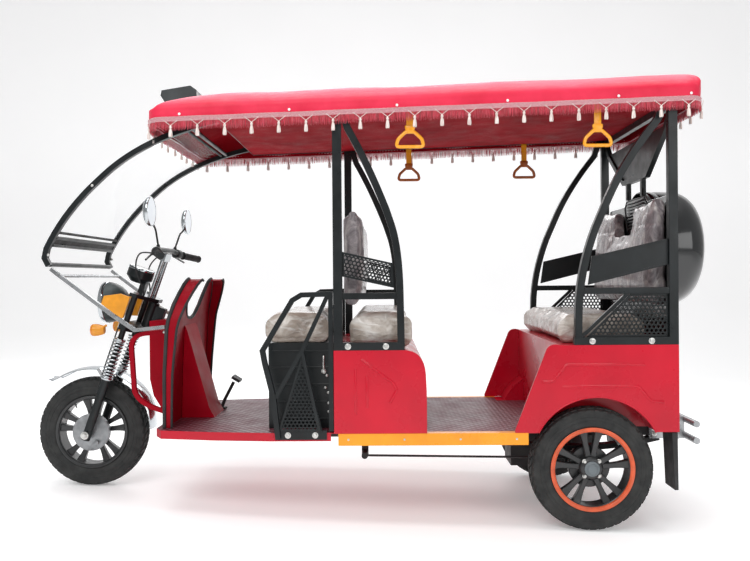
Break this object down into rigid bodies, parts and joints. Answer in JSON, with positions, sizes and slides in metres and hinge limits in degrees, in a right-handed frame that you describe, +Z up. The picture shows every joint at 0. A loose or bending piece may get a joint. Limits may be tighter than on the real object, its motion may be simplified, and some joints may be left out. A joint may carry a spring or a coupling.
{
  "type": "auto rickshaw",
  "caption": "Battery three-wheeled passenger rickshaw with a fringed cloth roof on bent side frames, facing bench seats, fork steering and a domed spare wheel cover.",
  "frame": {"origin": "centre of the footprint at ground level, midway between the ends and sides", "axes": "+X forward, +Y to the vehicle's left, +Z up"},
  "size_m": [2.9197, 1, 1.8686],
  "materials": {
    "black_steel": "satin black paint",
    "red_steel": "gloss red paint",
    "floor_sheet": "chequered plate, dark red",
    "yellow_steel": "gloss yellow paint",
    "clear_sheet": "clear sheet",
    "bright_pipe": "bright plated",
    "seat_cover": "grey rexine under clear wrinkled film",
    "black_plastic": "moulded black",
    "grey_plastic": "moulded dark grey",
    "canopy_cloth": "red coated cloth",
    "handle_plastic": "moulded yellow",
    "flap_rubber": "black rubber",
    "tyre": "black tyre on a black cast wheel",
    "red_lens": "red lens",
    "amber_lens": "amber lens on an orange bracket",
    "mirror_glass": "mirror in a bright shell"
  },
  "bodies": {
    "vehicle_body": {"chassis_frame": "black_steel", "floor_pan": "floor_sheet", "side_step_rails": "yellow_steel", "front_cowl": "red_steel", "head_tube": "black_steel", "leg_shields": "red_steel", "column_cover": "red_steel", "windscreen_frame": "black_steel", "windscreen": "clear_sheet", "windscreen_stay": "bright_pipe", "driver_seat_box": "black_steel", "driver_cushion": "seat_cover", "armrest_frames": "black_steel", "middle_seat_box": "red_steel", "middle_cushion": "seat_cover", "middle_backrest": "seat_cover", "middle_frames": "black_steel", "lattice_panels": "black_steel", "rear_side_panels": "red_steel", "rear_seat_box": "red_steel", "rear_cushion": "seat_cover", "rear_backrest": "seat_cover", "rear_seat_shell": "black_plastic", "rear_frames": "black_steel", "roof_frame": "black_steel", "canopy": "canopy_cloth", "roof_lamp": "grey_plastic", "grab_handles": "handle_plastic", "rear_axle": "black_steel", "rear_bumper": "bright_pipe", "mud_flaps": "flap_rubber", "spare_wheel": "tyre", "spare_cover": "black_plastic", "tail_lamps": "red_lens", "brake_linkage": "black_steel"},
    "steering": {"fork": "black_steel", "fork_springs": "bright_pipe", "handlebar": "black_plastic", "headlight": "black_plastic", "front_lamps": "amber_lens", "mirrors": "mirror_glass", "front_mudguard": "bright_pipe"},
    "front_wheel": {"front_wheel": "tyre"},
    "rear_wheel_left": {"rear_wheel_left": "tyre"},
    "rear_wheel_right": {"rear_wheel_right": "tyre"}
  },
  "joints": [
    {"name": "steering", "type": "hinge", "parent": "vehicle_body", "child": "steering", "pos_m": [0.97799, 0, 0.77836], "axis": [-0.3017, 0, 0.9534], "range_deg": [-40, 40]},
    {"name": "front_wheel_spin", "type": "hinge", "parent": "steering", "child": "front_wheel", "pos_m": [1.21496, 0, 0.245], "axis": [0, 1, 0], "continuous": true},
    {"name": "rear_wheel_left_spin", "type": "hinge", "parent": "vehicle_body", "child": "rear_wheel_left", "pos_m": [-0.92447, 0.4175, 0.245], "axis": [0, 1, 0], "continuous": true},
    {"name": "rear_wheel_right_spin", "type": "hinge", "parent": "vehicle_body", "child": "rear_wheel_right", "pos_m": [-0.92447, -0.4175, 0.245], "axis": [0, 1, 0], "continuous": true}
  ]
}
